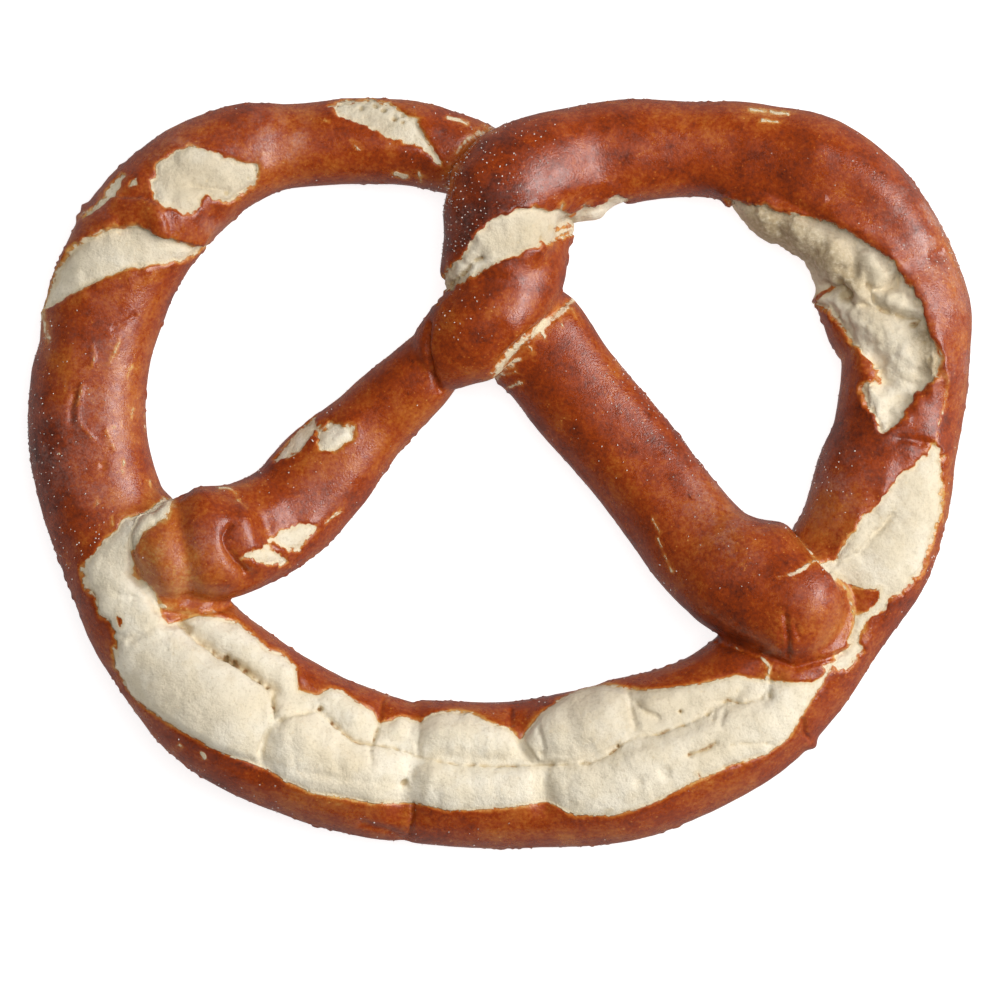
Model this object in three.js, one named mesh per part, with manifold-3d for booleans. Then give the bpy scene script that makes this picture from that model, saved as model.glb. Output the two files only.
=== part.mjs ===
// A soft pretzel: one rope of dough with thick belly and thin ends, looped, crossed, twisted once
// more, its ends pressed onto the belly, and baked flat on a tray.
// Millimetres, +Z up. The belly lies towards -Y and the two upper loops towards +Y.
// The origin is the middle of the underside.

import * as THREE from 'three';
import { mergeVertices } from 'three/addons/utils/BufferGeometryUtils.js';
import Module from 'manifold-3d';

const wasm = await Module();
wasm.setup();

// The dough's section: how high a rope of a given width stands, and how square its shoulders are.
const HEIGHT_OF_THIN_ROPE = 6.5;
const HEIGHT_PER_WIDTH = 0.66;
const SHOULDER_POWER = 2.25;

// How deep the rope has settled on the tray, which gives its flat underside.
const SETTLED = 1.5;

// How finely a rope is divided along its length and round its section.
const RING_STEP = 3;
const SIDES = 22;
const TOP_CROWDING = 0.38;

// A rounded rope end is this share of its last width long.
const END_ROUNDING = 0.38;

// Reach of a tear's raised crust edge, and how far it stands up.
const LIP_REACH = 2.2;
const LIP_RISE = 0.5;

const CRUST = new THREE.MeshStandardMaterial({ color: 0x8f4019, roughness: 0.42, metalness: 0 });

// A rope's stations are [x, y, width, underside]: its middle line seen from above, its width there
// and how high its underside is held by what it lies on.
const LEFT_HALF = [
  [-12, -58, 23, 0], [-19, -57.5, 27, 0], [-33.2, -53.4, 28.8, 0], [-51.6, -43.6, 30, 0],
  [-63.4, -30.3, 26.9, 0], [-71, -16.5, 24, 0], [-77.4, 3.5, 23, 0], [-76.5, 22, 22.4, 0],
  [-69, 42.5, 23.5, 0], [-58.5, 54.2, 22.2, 0], [-48, 59.9, 19.2, 0], [-38, 61.4, 15.8, 0],
  [-17, 62.1, 16.5, 0], [-7.5, 59.7, 15.5, 0], [1, 57, 13, 0.5], [6.5, 54, 8.5, 2],
];

const RIGHT_HALF = [
  [-20.5, -57, 23, 0], [-14, -57.7, 27.6, 0], [2, -58.4, 28, 0], [25, -55.3, 30.7, 0],
  [46.5, -46, 28, 0], [63.7, -26.6, 24.8, 0], [70.1, -15, 27, 0], [73.5, -3, 26.5, 0],
  [76.5, 8, 24, 0], [78.3, 27, 24.5, 0], [76.7, 36.3, 23, 0], [70.5, 47.5, 23, 0],
  [60.2, 56.5, 22, 0], [49, 59.8, 19.6, 0], [38, 60.7, 18.2, 0], [26.5, 60.5, 19.8, 0],
  [17, 59, 20, 1], [7.5, 56.5, 21, 5], [1, 52, 21.5, 7.5], [0.8, 43.5, 21.2, 6.5],
  [0.3, 35.4, 21.4, 3.5], [5, 28, 14.5, 2],
];

const WRAP = [
  [1, 54, 10, 2], [6.5, 50.5, 12, 1.5], [7.4, 43, 13.2, 3], [4.5, 35.5, 16.5, 6.5],
  [-0.5, 29, 18.5, 8], [-4.7, 25.7, 18, 7.2], [-9, 22.3, 15.5, 6],
];

const LEFT_ARM = [
  [-3.5, 26, 9.5, 6], [-9.5, 22.5, 12.5, 5], [-16.4, 15.6, 14.8, 3], [-22.5, 9.8, 15.6, 1],
  [-33.6, -1.9, 19.5, 0], [-39.8, -8.6, 20.1, 1], [-46.5, -12.3, 20.6, 4], [-53, -14.5, 21.4, 8],
  [-62.5, -16.6, 17.2, 10.5],
];

const RIGHT_ARM = [
  [1, 33, 14, 2], [7.4, 25.2, 20.3, 0], [13.8, 16.2, 20.2, 0], [26.5, 1.2, 20, 0],
  [33.5, -8.2, 20, 1], [39.2, -15.3, 20.7, 3], [46.8, -21, 23, 6], [58, -26.6, 22, 9.5],
];

// Crumb that has burst out of the right loop's inner side, under the torn crust.
const BURST = [
  [45.7, 52.5, 7, 4], [50.9, 51.3, 14, 2], [57.6, 49, 16.5, 1], [65, 45, 16.6, 0.5],
  [69, 36.7, 19.3, 0.5], [71.8, 27.5, 18.3, 0.5], [73.8, 20.5, 14.5, 2],
];

const TORN_EDGE = [
  [11.5, 49.5, 3.5, 7], [17, 49.5, 4, 5], [22, 51, 2.5, 4.5],
];

// Valleys between the swollen pillows of crumb, as lines [x, y] across the belly.
const VALLEY_DEPTH = 2.6;
const VALLEY_REACH = 2.7;
const BELLY_VALLEYS = [
  [[-60, -29], [-54, -34], [-43, -41], [-35, -45], [-27.5, -50.5], [-16, -53], [-7.5, -55.5],
    [13, -55.5], [20.5, -53.5], [26.5, -50], [38.5, -46], [51, -41]],
  [[-44, -42], [-44.5, -55]],
  [[-22, -46], [-24, -51]],
  [[-15.5, -45], [-16, -53], [-16, -64]],
  [[3.5, -45], [6.5, -55]],
  [[9, -55.5], [9, -62]],
  [[24.5, -41], [25.5, -50]],
];

// Tears where the crust has parted over bare crumb, as lines of [x, y, half width].
const TEAR_DEPTH = 0.9;
const LOOP_TEARS = [
  [[-83.5, 35, 3], [-72, 40.5, 4.5], [-60, 43, 3]],
  [[-62.5, 54.5, 4.5], [-48.5, 56.5, 3]],
  [[-29.5, 68.5, 2.5], [-20, 65.5, 4], [-13, 61.5, 2]],
  [[-9.5, 35, 2.5], [3, 43.5, 4.5], [19, 49.5, 3]],
  [[81, 0.5, 4], [75, -14, 7], [66.5, -31.5, 4]],
];
const ARM_TEARS = [
  [[-42, 6, 2], [-31, 8, 2.6]],
  [[-47, -14, 1.6], [-38, -10, 2.6]],
];

// The burst, where the right loop has split wide open on its inner side.
const BURST_DEPTH = 3;
const BURST_OPENINGS = [
  [[46, 51, 2], [57, 46, 4], [67, 38.5, 6.5], [74, 29.5, 7.5], [76.5, 18, 6], [74.5, 10, 2]],
];
const BURST_LUMPS = [
  [50, 49, 3, 1.2], [57.5, 45.5, 3.2, 1.8], [64.5, 41.5, 3.5, 2], [71.5, 37, 3.5, 2],
  [68, 32.5, 3, 1.5], [76, 31, 3.2, 1.8], [72.5, 26.5, 3.5, 1.6], [78, 22, 3, 1.2],
];

// Low folds and dents that the dough took in proving, as [x, y, reach, rise].
const DENTS = [
  [-62, 47, 5, 0.9], [-71, 49, 4, -0.7], [44, 60, 3, -0.6], [84, 6, 4, 0.8], [83, 41, 3, -0.6],
  [-52, -11, 4, 0.7], [-50, -18, 3, -0.6], [57, -31, 3, -0.8],
];

function shareAlong(x, y, [ax, ay], [bx, by]) {
  const along = ((x - ax) * (bx - ax) + (y - ay) * (by - ay)) / ((bx - ax) ** 2 + (by - ay) ** 2);
  return THREE.MathUtils.clamp(along, 0, 1);
}

function distanceToSegment(x, y, [ax, ay], [bx, by]) {
  const share = shareAlong(x, y, [ax, ay], [bx, by]);
  return Math.hypot(x - ax - share * (bx - ax), y - ay - share * (by - ay));
}

function distanceToLine(x, y, line) {
  let nearest = Infinity;
  for (let i = 1; i < line.length; i += 1) {
    nearest = Math.min(nearest, distanceToSegment(x, y, line[i - 1], line[i]));
  }
  return nearest;
}

function valleyRelief(x, y, valleys) {
  let nearest = Infinity;
  for (const line of valleys) {
    nearest = Math.min(nearest, distanceToLine(x, y, line));
  }
  return -VALLEY_DEPTH * Math.exp(-((nearest / VALLEY_REACH) ** 2));
}

// How far inside (negative) or outside the nearest tear's edge a point is.
function distanceToTear(x, y, tears) {
  let nearest = Infinity;
  for (const line of tears) {
    for (let i = 1; i < line.length; i += 1) {
      const [from, to] = [line[i - 1], line[i]];
      const share = shareAlong(x, y, from, to);
      const half = THREE.MathUtils.lerp(from[2], to[2], share);
      nearest = Math.min(nearest, distanceToSegment(x, y, from, to) - half);
    }
  }
  return nearest;
}

function tearRelief(x, y, tears, depth) {
  const outside = distanceToTear(x, y, tears);
  const dish = THREE.MathUtils.smoothstep(-outside, 0, LIP_REACH);
  const lip = outside > 0 ? Math.exp(-((outside / LIP_REACH) ** 2)) : 0;
  return LIP_RISE * lip - depth * dish;
}

function bumpRelief(x, y, bumps) {
  let relief = 0;
  for (const [cx, cy, reach, rise] of bumps) {
    relief += rise * Math.exp(-((x - cx) ** 2 + (y - cy) ** 2) / reach ** 2);
  }
  return relief;
}

// A middle line through the stations, with the width and underside read off alongside it.
function ropeCurves(stations) {
  const middle = new THREE.CatmullRomCurve3(
    stations.map(([x, y, width, underside]) => {
      return new THREE.Vector3(x, y, underside + ropeHeight(width) / 2 - SETTLED);
    }),
    false,
    'centripetal',
  );
  const widthAt = (t) => {
    const place = t * (stations.length - 1);
    const before = Math.min(Math.floor(place), stations.length - 2);
    const blend = THREE.MathUtils.smoothstep(place - before, 0, 1);
    return THREE.MathUtils.lerp(stations[before][2], stations[before + 1][2], blend);
  };
  return { middle, widthAt };
}

function ropeHeight(width) {
  return HEIGHT_OF_THIN_ROPE + HEIGHT_PER_WIDTH * width;
}

function power(value, exponent) {
  return Math.sign(value) * Math.abs(value) ** exponent;
}

// One closed ring round the rope, with its points drawn together on the top.
function sectionRing(centre, tangent, width, reliefAt, sides) {
  const side = new THREE.Vector3(tangent.y, -tangent.x, 0).normalize();
  const up = new THREE.Vector3().crossVectors(side, tangent);
  const height = ropeHeight(width);
  const ring = [];
  for (let k = 0; k < sides; k += 1) {
    const turn = (2 * Math.PI * k) / sides;
    const angle = turn + TOP_CROWDING * Math.sin(turn) - Math.PI / 2;
    const across = (width / 2) * power(Math.cos(angle), 2 / SHOULDER_POWER);
    const rise = (height / 2) * power(Math.sin(angle), 2 / SHOULDER_POWER);
    const point = centre.clone().addScaledVector(side, across).addScaledVector(up, rise);
    point.z += reliefAt(point.x, point.y) * Math.max(0, Math.sin(angle));
    ring.push(point);
  }
  return ring;
}

// The rope's skin: rings along its middle line, and ends that close in a few shrinking rings.
function ropeGeometry(stations, { reliefAt = () => 0, sides = SIDES, step = RING_STEP } = {}) {
  const { middle, widthAt } = ropeCurves(stations);
  const count = Math.round(middle.getLength() / step);
  const rings = [];
  const addRing = (t, beyond, share) => {
    const tangent = middle.getTangent(t);
    const centre = middle.getPoint(t).addScaledVector(tangent, beyond);
    const ring = sectionRing(centre, tangent, widthAt(t), reliefAt, sides);
    rings.push(ring.map((point) => centre.clone().lerp(point, share)));
  };
  const closings = [75, 50, 25].map(THREE.MathUtils.degToRad);
  for (const angle of closings) {
    addRing(0, -END_ROUNDING * widthAt(0) * Math.sin(angle), Math.cos(angle));
  }
  for (let i = 0; i <= count; i += 1) {
    addRing(middle.getUtoTmapping(i / count), 0, 1);
  }
  for (const angle of closings.reverse()) {
    addRing(1, END_ROUNDING * widthAt(1) * Math.sin(angle), Math.cos(angle));
  }
  const points = rings.flat();
  const startTip = points.length;
  points.push(middle.getPoint(0).addScaledVector(middle.getTangent(0), -END_ROUNDING * widthAt(0)));
  points.push(middle.getPoint(1).addScaledVector(middle.getTangent(1), END_ROUNDING * widthAt(1)));
  const faces = [];
  for (let k = 0; k < sides; k += 1) {
    const next = (k + 1) % sides;
    for (let i = 0; i + 1 < rings.length; i += 1) {
      const here = i * sides;
      const there = here + sides;
      faces.push(here + k, there + next, here + next, here + k, there + k, there + next);
    }
    const last = (rings.length - 1) * sides;
    faces.push(startTip, k, next, startTip + 1, last + next, last + k);
  }
  const geometry = new THREE.BufferGeometry().setFromPoints(points);
  geometry.setIndex(faces);
  return geometry;
}

function solidOf(geometry) {
  geometry.deleteAttribute('normal');
  geometry.deleteAttribute('uv');
  const merged = mergeVertices(geometry);
  const vertProperties = new Float32Array(merged.attributes.position.array);
  const triVerts = new Uint32Array(merged.index.array);
  return new wasm.Manifold(new wasm.Mesh({ numProp: 3, vertProperties, triVerts }));
}

function geometryOf(solid) {
  const { vertProperties, triVerts } = solid.getMesh();
  const geometry = new THREE.BufferGeometry();
  geometry.setAttribute('position', new THREE.BufferAttribute(vertProperties, 3));
  geometry.setIndex(new THREE.BufferAttribute(triVerts, 1));
  return geometry;
}

function pretzelGeometry() {
  const lumpRelief = (x, y) => bumpRelief(x, y, BURST_LUMPS);
  const loopRelief = (x, y) => {
    const splits = valleyRelief(x, y, BELLY_VALLEYS) + tearRelief(x, y, LOOP_TEARS, TEAR_DEPTH);
    const burst = tearRelief(x, y, BURST_OPENINGS, BURST_DEPTH) + lumpRelief(x, y);
    return splits + burst + bumpRelief(x, y, DENTS);
  };
  const armRelief = (x, y) => {
    return tearRelief(x, y, ARM_TEARS, TEAR_DEPTH) + bumpRelief(x, y, DENTS);
  };
  const ropes = [
    ropeGeometry(LEFT_HALF, { reliefAt: loopRelief }),
    ropeGeometry(RIGHT_HALF, { reliefAt: loopRelief }),
    ropeGeometry(WRAP, { sides: 18 }),
    ropeGeometry(LEFT_ARM, { reliefAt: armRelief, sides: 18 }),
    ropeGeometry(RIGHT_ARM, { reliefAt: armRelief, sides: 20 }),
    ropeGeometry(BURST, { reliefAt: lumpRelief, sides: 18 }),
    ropeGeometry(TORN_EDGE, { sides: 10 }),
  ];
  const joined = ropes.map(solidOf).reduce((whole, rope) => whole.add(rope));
  const belowTray = new THREE.BoxGeometry(400, 400, 100).translate(0, 0, -50);
  const pieces = joined.subtract(solidOf(belowTray)).decompose();
  // Where two ropes' skins graze, the join leaves splinters: only the dough itself is kept.
  const [dough] = pieces.sort((a, b) => b.volume() - a.volume());
  const geometry = geometryOf(dough);
  geometry.computeBoundingBox();
  const { min, max } = geometry.boundingBox;
  geometry.translate(-(min.x + max.x) / 2, -(min.y + max.y) / 2, 0);
  geometry.computeVertexNormals();
  return geometry;
}

const part = new THREE.Group();
const pretzel = new THREE.Mesh(pretzelGeometry(), CRUST);
pretzel.name = 'pretzel';
part.add(pretzel);

export default part;
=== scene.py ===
"""A soft pretzel lying flat on a pale floor: browned crust torn open over pale crumb."""

import bmesh
import bpy
import numpy as np
from mathutils import Matrix, Vector


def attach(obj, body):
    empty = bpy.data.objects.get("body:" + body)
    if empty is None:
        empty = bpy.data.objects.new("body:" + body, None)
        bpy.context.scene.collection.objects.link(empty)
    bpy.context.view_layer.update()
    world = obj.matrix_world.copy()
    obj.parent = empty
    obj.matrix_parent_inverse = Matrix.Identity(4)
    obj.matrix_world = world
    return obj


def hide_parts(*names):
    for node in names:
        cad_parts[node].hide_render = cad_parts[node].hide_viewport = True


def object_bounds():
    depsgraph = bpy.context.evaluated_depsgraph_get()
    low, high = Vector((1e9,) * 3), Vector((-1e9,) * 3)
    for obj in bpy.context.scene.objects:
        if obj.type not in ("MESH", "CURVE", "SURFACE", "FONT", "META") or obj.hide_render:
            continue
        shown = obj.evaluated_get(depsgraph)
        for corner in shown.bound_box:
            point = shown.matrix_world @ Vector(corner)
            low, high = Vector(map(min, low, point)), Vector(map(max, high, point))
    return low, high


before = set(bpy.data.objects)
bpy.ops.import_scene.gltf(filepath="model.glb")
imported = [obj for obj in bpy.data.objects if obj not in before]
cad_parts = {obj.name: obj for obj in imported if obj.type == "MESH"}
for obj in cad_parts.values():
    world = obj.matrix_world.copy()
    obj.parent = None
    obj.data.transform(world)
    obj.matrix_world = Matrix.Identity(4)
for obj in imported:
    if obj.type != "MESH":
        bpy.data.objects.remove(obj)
cad_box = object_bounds()

MM = 0.001
SEED = 20

# ---------------------------------------------------------------- tears, splits and creases
# Seen from above, in millimetres from the middle of the pretzel, +Y away from the belly.

BELLY_SPLIT = [
    (-61.4, -5.8), (-64.6, -5), (-66.6, -7.6), (-69.4, -7.8), (-74.6, -12.6), (-79, -17.4),
    (-78.6, -20.8), (-76.2, -24.8), (-75.8, -26.8), (-74, -28.4), (-72.6, -31.6), (-73, -35.6),
    (-70.8, -41.2), (-67, -44.6), (-60, -49), (-52.6, -53), (-44, -56), (-39.8, -58.6),
    (-34.8, -60.6), (-23.8, -62.4), (-15.6, -62.6), (-9.2, -64), (0.6, -63.4), (9, -62.2),
    (14.4, -64.8), (21.4, -64.8), (28.8, -62.6), (35.8, -58.8), (43.2, -55.6), (50.6, -53.2),
    (54.8, -50.4), (57.6, -45.4), (61.4, -39.6), (62, -37.6), (59, -40), (48.2, -39),
    (45, -38.2), (37.6, -40), (27.6, -41.2), (24.4, -40.8), (19.2, -40.2), (15.2, -41),
    (11.2, -43), (7.4, -46), (5, -49), (3.8, -50.6), (2, -48.4), (-2.2, -47), (-5.4, -45.4),
    (-9.2, -45), (-12.8, -45.6), (-15, -47), (-18.6, -46), (-22.6, -47.4), (-24, -45.2),
    (-27.2, -43.2), (-29.8, -41.2), (-32, -40.8), (-34.4, -42), (-38, -41.2), (-38.6, -36.8),
    (-40.8, -34.6), (-44, -33.4), (-46.4, -31), (-49.6, -28.4), (-53.2, -27.4), (-57, -27),
    (-60, -28), (-63, -28.6), (-65, -23.6), (-66.8, -20.8), (-69.4, -19.2), (-68.6, -15),
    (-66.2, -10.8), (-62.8, -9.2),
]
LOW_LEFT_TEAR = [
    (-87.2, 31.2), (-84.6, 36.4), (-81.8, 41.4), (-78.4, 44.2), (-73.4, 46.2), (-68.4, 46.8),
    (-63.2, 44.8), (-58.6, 43), (-55.6, 43.4), (-57.8, 41.6), (-60.4, 40.2), (-66, 39.4),
    (-70.2, 38.8), (-76.8, 36.2), (-80.8, 34.2), (-85, 31.6),
]
HIGH_LEFT_TEAR = [
    (-66, 54.6), (-64.6, 58.4), (-61, 61.8), (-57.8, 61.8), (-53.6, 60.8), (-50, 58.8),
    (-45.6, 58.4), (-45.8, 55.4), (-48.4, 53.4), (-51.6, 51.4), (-55.4, 52.2), (-58.2, 49.4),
    (-61, 49.6), (-63.6, 50.6), (-65.6, 52),
]
SHOULDER_TEAR = [
    (-78.4, 48.2), (-76.6, 50.7), (-74.7, 52.7), (-73.7, 54.5), (-71.8, 56.8), (-71, 56.4),
    (-71.9, 54.2), (-72.9, 52.3), (-74.9, 50.7), (-76.8, 49),
]
SHOULDER_CHIP = [(-70.2, 55.7), (-68.8, 55.9), (-68.7, 54.5), (-70, 54.3)]
TOP_TEAR = [
    (-32.2, 69.6), (-29.8, 70.6), (-24, 71), (-19.8, 69.6), (-17.4, 68.2), (-15, 66.2),
    (-13.6, 62.8), (-12, 59.8), (-11.2, 58.4), (-13.6, 60.8), (-16.6, 62.6), (-19.8, 63),
    (-23, 65), (-27.2, 66.8), (-30.4, 68.2),
]
TWIST_TEAR = [
    (-12.8, 32.4), (-11.6, 35.4), (-10.4, 37.7), (-8.4, 39.8), (-6.3, 41.8), (-5.4, 43.7),
    (-3.8, 45.8), (-2.1, 47.7), (0.8, 49), (3.4, 49.7), (6.9, 50.7), (9.6, 49.5),
    (11.6, 50.6), (13.2, 49), (16.4, 50.6), (21.4, 52.2), (24.6, 52.6), (23, 49.8),
    (19.2, 46.6), (16, 46.6), (13.6, 45.4), (9.8, 43.7), (5.6, 42.1), (0.2, 39.9),
    (-3.5, 38.4), (-6.2, 36.6), (-10.2, 34.6), (-11.8, 32),
]
LEFT_ARM_TEARS = [
    [(-42.6, 2.4), (-40.2, 5.6), (-38.8, 7.4), (-35.2, 10.2), (-36.8, 5), (-38, 4.4)],
    [(-34.4, 7.8), (-32.2, 9.8), (-29.4, 9.2), (-27.6, 8.8), (-28, 6.2), (-29.8, 5),
     (-32.2, 4.4), (-34.4, 4.6)],
    [(-43.4, -12.6), (-41.8, -10.8), (-39.2, -10.2), (-34.2, -9.4), (-34.6, -11.2),
     (-36.4, -12.8), (-37.8, -14.6), (-39.8, -14.4)],
    [(-49, -16.2), (-47.2, -14.8), (-43.8, -13.8), (-41.8, -15.2), (-39.8, -17),
     (-43.4, -17)],
]
FLANK_TEAR = [
    (82.2, 4.8), (83.4, 3.2), (83.6, 0.4), (84, -3.8), (83.6, -8.4), (82, -12.8),
    (80.6, -17), (79.2, -19.4), (76.6, -22.6), (73.8, -24), (72.4, -26), (70.8, -27.6),
    (69.6, -29.2), (68.4, -31.8), (68.8, -33), (67.2, -36), (65.4, -37.4), (60.8, -36.6),
    (63.6, -35.6), (66.6, -32.4), (66.4, -28.2), (66, -26), (64.8, -21.8), (63.6, -19.8),
    (60.6, -16.6), (63.6, -16), (64.6, -14), (66.8, -12), (67.6, -9.8), (70, -7.4),
    (72.2, -4.6), (75, -2), (77, 0.8), (79.8, 2.8),
]
FLANK_ISLAND = [
    (66.4, -21.4), (69.2, -22), (72.4, -21.8), (71.8, -24.4), (70, -26), (67.6, -26.8),
    (66.8, -24),
]
BURST = [
    (43.4, 52.6), (48.2, 50.8), (53, 49.6), (57.6, 48.6), (64, 47), (67.2, 45.8),
    (70.2, 43.6), (73.4, 41.2), (75.6, 38.4), (77.4, 35.8), (79.2, 33.2), (80, 30.4),
    (81.2, 27.4), (82.6, 23.6), (83.8, 18.4), (82.2, 18.2), (81.2, 16.4), (79.2, 15.4),
    (77.4, 13.4), (76.4, 10.6), (75, 8.8), (72.6, 7.2), (71.6, 9.6), (70.2, 12.2),
    (68, 16.2), (69.6, 17.2), (72.6, 17.2), (71.6, 19.2), (71, 21), (68.6, 23),
    (65.2, 26.6), (62.6, 30.4), (58.2, 33), (57, 38), (54, 41), (50, 42.6), (46, 45),
    (43, 48),
]

# Each tear: its outline, how ragged its edge is, how deep the crumb lies under the crust and
# how far it swells up again away from its edge.
TEARS = [
    (BELLY_SPLIT, 0.7, 0.1, 0.85), (LOW_LEFT_TEAR, 0.5, 0.3, 1), (HIGH_LEFT_TEAR, 0.9, 0.3, 1),
    (SHOULDER_TEAR, 0.6, 0.15, 0.3), (SHOULDER_CHIP, 0.7, 0.1, 0.2), (TOP_TEAR, 1, 0.3, 0.8),
    (TWIST_TEAR, 0.9, 0.4, 1), (FLANK_TEAR, 1.1, 0.4, 1), (BURST, 1.1, 0.9, 1.4),
] + [(outline, 1, 0.25, 0.6) for outline in LEFT_ARM_TEARS]

# These tears stop where an arm's end lies over them.
UNDER_THE_ARMS = [BELLY_SPLIT, FLANK_TEAR]

# Bits of crust left on the crumb.
CRUST_BITS = [
    FLANK_ISLAND,
    [(-71.9, -27), (-71, -27.3), (-70.8, -28.5), (-71.4, -29), (-71.9, -28.2)],
    [(9.9, 46.4), (12.5, 47.2), (13.3, 46.6), (10.6, 45.7)],
    [(10.8, 44.4), (11.4, 45.5), (13.1, 46.2), (12.7, 45.2)],
    [(58.8, 32.2), (60.1, 34), (61.5, 35.1), (62.3, 34.7), (61.3, 33.8), (60, 32.1)],
    [(37.1, -56.8), (37.9, -56.7), (37.8, -57.3)], [(20, -63.6), (20.9, -63.6), (20.4, -64.1)],
]

# Cracks and folds in the crumb: the line, how deep it goes, half how wide it is and how dark the
# painted shade in it is.
CRUMB_CRACKS = [
    ([(-60, -28.8), (-57, -31.8), (-53.8, -34.2), (-50.4, -35.8), (-47.6, -37.6),
      (-44.8, -39.6), (-42.6, -41.2)], 1.6, 0.9, 0.72),
    ([(-42.6, -41.2), (-42.8, -43.4), (-42.6, -46.4)], 1, 0.4, 0.7),
    ([(-42.2, -47), (-39, -45.6), (-34.8, -45), (-32.4, -46.6), (-30.4, -48.2),
      (-27.8, -50.6), (-24.2, -51.2)], 0.7, 0.4, 0.6),
    ([(-24, -51.4), (-19.8, -52), (-15, -53.8), (-7.6, -55.2), (0.6, -55.4), (13, -55.2),
      (17.2, -54.8), (20.4, -53.6), (23.4, -51.2), (26.4, -49.8), (29.6, -49.4),
      (35, -47.6), (38.2, -46.2), (40.4, -44.4), (43.2, -43), (46.2, -43.6),
      (49.4, -42.6), (51.2, -40.8)], 0.5, 0.28, 0.65),
    ([(35.8, -53.2), (38.8, -52.4), (40.8, -51.2)], 0.7, 0.4, 0.85),
    ([(43.7, -51.4), (48, -51), (52, -51.3)], 0.25, 0.25, 0.35),
    ([(42.6, -55.6), (44.4, -54.9), (45.8, -55.2)], 0.4, 0.3, 0.5),
    ([(40.8, -44.7), (40.3, -46.7)], 0.35, 0.35, 0.15),
    ([(42.5, -45), (41.8, -47.6)], 0.35, 0.35, 0.15),
    ([(51.3, -39.4), (51, -42)], 0.6, 0.35, 0.6),
    ([(-22.6, -47.2), (-23.4, -49.8), (-24, -51.2)], 0.7, 0.3, 0.7),
    ([(-15.2, -47.2), (-15.6, -53)], 0.4, 0.5, 0.1),
    ([(-16.6, -53), (-15.8, -62.6)], 0.15, 0.8, 0),
    ([(3.8, -51), (5, -53.6), (6.6, -55.2)], 0.6, 0.45, 0.1),
    ([(9, -57.5), (9.2, -62.2)], 0.15, 0.8, 0),
    ([(7.9, -48.5), (8.8, -51.7), (8.3, -54.5)], 0.35, 0.35, 0.25),
    ([(24.4, -41.2), (24.8, -45), (26, -48.4)], 0.4, 0.6, 0.1),
    ([(25.8, -43.6), (27.7, -45.2), (30.2, -46.2)], 0.5, 0.5, 0.25),
    ([(-42.6, -47), (-44.4, -49.8), (-45.2, -52.6), (-44.8, -55.2)], 0.45, 0.6, 0.1),
    ([(-38.7, -46.9), (-39.4, -51), (-38.4, -55.5)], 0.15, 0.7, 0),
    ([(-30.9, -49.8), (-30.5, -56.4)], 0.1, 0.8, 0),
    ([(-24.6, -51.3), (-24.2, -54.9)], 0.4, 0.5, 0.1),
    ([(-40.7, -56), (-32.2, -57.6), (-17.2, -59.3)], 0.2, 0.9, 0),
    ([(-72.5, -30), (-69.6, -31.5), (-67, -30), (-64.3, -28.5)], 0.4, 0.6, 0.1),
    ([(-71.9, -23.2), (-65.5, -24.1)], 0.4, 0.5, 0.1),
    ([(-70, -18.8), (-68.1, -20.9), (-66.4, -23.6), (-64.9, -26)], 0.8, 0.7, 0.3),
    ([(-3.4, 40.6), (-5.4, 39.7), (-6.5, 38.2), (-9.3, 36), (-11, 34)], 0.7, 0.4, 0.75),
    ([(8.1, 44.9), (8.3, 43.6)], 0.4, 0.25, 0.9),
    ([(66.8, 43.2), (67.2, 40.4), (67.2, 37.6)], 0.5, 0.8, 0.1),
    ([(62.4, 34.9), (64.2, 35), (65.3, 33.2)], 1.2, 0.7, 0.6),
    ([(66.4, 31.6), (69, 31.7), (71.4, 31.5), (74, 30.1), (76.4, 29.6), (78.8, 28.8)],
     0.8, 0.35, 0.55),
    ([(69.6, 35.9), (70.7, 33.6), (71, 31.9)], 0.7, 0.4, 0.3),
    ([(75.6, 37.4), (74.7, 35.4), (71.3, 34.4)], 0.7, 0.35, 0.3),
    ([(79.4, 29.4), (80.8, 26.4), (81.4, 23.4)], 0.5, 0.6, 0.3),
    ([(-58.3, 54.6), (-55, 53.9), (-51.4, 53.5)], 0.45, 0.4, 0.15),
    ([(74.4, -8), (72.3, -10.5), (70.6, -12), (68.3, -15.2), (63.9, -17.1)], 0.6, 0.5, 0.2),
]
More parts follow.
